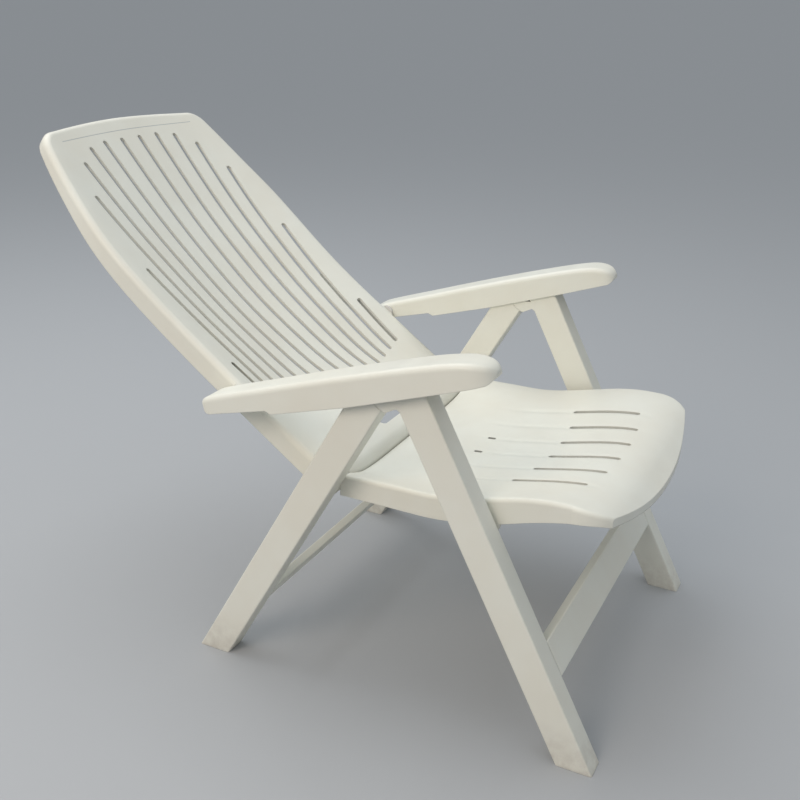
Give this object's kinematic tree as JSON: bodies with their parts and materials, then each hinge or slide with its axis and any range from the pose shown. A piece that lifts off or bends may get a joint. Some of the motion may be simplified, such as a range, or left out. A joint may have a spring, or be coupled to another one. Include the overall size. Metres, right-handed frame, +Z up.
{
  "type": "folding reclining chair",
  "caption": "Moulded-plastic folding garden chair with a tall slatted reclining back, dished slotted seat, hinged leg frames and notched armrests.",
  "frame": {"origin": "centre of the bounding box's bottom face, on the floor", "axes": "+Z up, -Y the way a sitter faces, +X to the sitter's left"},
  "size_m": [0.6146, 1.0225, 0.7833],
  "materials": {
    "resin": "satin moulded off-white",
    "steel": "plain steel pins",
    "bearing_resin": "matt hard plastic"
  },
  "bodies": {
    "rear_frame": {"rear_leg_left": "resin", "rear_leg_right": "resin", "rear_stretcher": "resin", "back_pivot_pin_left": "steel", "back_pivot_pin_right": "steel", "hinge_spacer_left": "bearing_resin", "hinge_spacer_right": "bearing_resin", "seat_hinge_pin_left": "steel", "seat_hinge_pin_right": "steel"},
    "front_frame": {"front_leg_left": "resin", "front_leg_right": "resin", "front_stretcher": "resin", "leg_pivot_pin_left": "steel", "leg_pivot_pin_right": "steel", "catch_roller_left": "bearing_resin", "catch_roller_right": "bearing_resin", "pivot_clips": "steel", "seat_peg_left": "bearing_resin", "seat_peg_right": "bearing_resin"},
    "back": {"back_panel": "resin", "arm_spacer_left": "bearing_resin", "arm_spacer_right": "bearing_resin", "arm_pivot_pin_left": "steel", "arm_pivot_pin_right": "steel"},
    "seat": {"seat_panel": "resin"},
    "arm_left": {"armrest_left": "resin"},
    "arm_right": {"armrest_right": "resin"}
  },
  "joints": [
    {"name": "leg_fold", "type": "hinge", "parent": "rear_frame", "child": "front_frame", "pos_m": [0, -0.18627, 0.512], "axis": [1, 0, 0], "range_deg": [0, 45]},
    {"name": "back_recline", "type": "hinge", "parent": "rear_frame", "child": "back", "pos_m": [0, -0.06326, 0.32205], "axis": [1, 0, 0], "range_deg": [0, 38]},
    {"name": "seat_fold", "type": "hinge", "parent": "rear_frame", "child": "seat", "pos_m": [0, -0.08426, 0.34005], "axis": [-1, 0, 0], "range_deg": [0, 90]},
    {"name": "arm_level_left", "type": "hinge", "parent": "back", "child": "arm_left", "pos_m": [0, 0.08896, 0.43675], "axis": [1, 0, 0], "range_deg": [-25.32, 0]},
    {"name": "arm_level_right", "type": "hinge", "parent": "back", "child": "arm_right", "pos_m": [0, 0.08896, 0.43675], "axis": [1, 0, 0], "range_deg": [-25.32, 0]}
  ],
  "couplings": [
    {"joint": "seat_fold", "follows": "leg_fold", "ratio": 2},
    {"joint": "arm_level_left", "follows": "back_recline", "ratio": -0.6661},
    {"joint": "arm_level_right", "follows": "back_recline", "ratio": -0.6661}
  ]
}
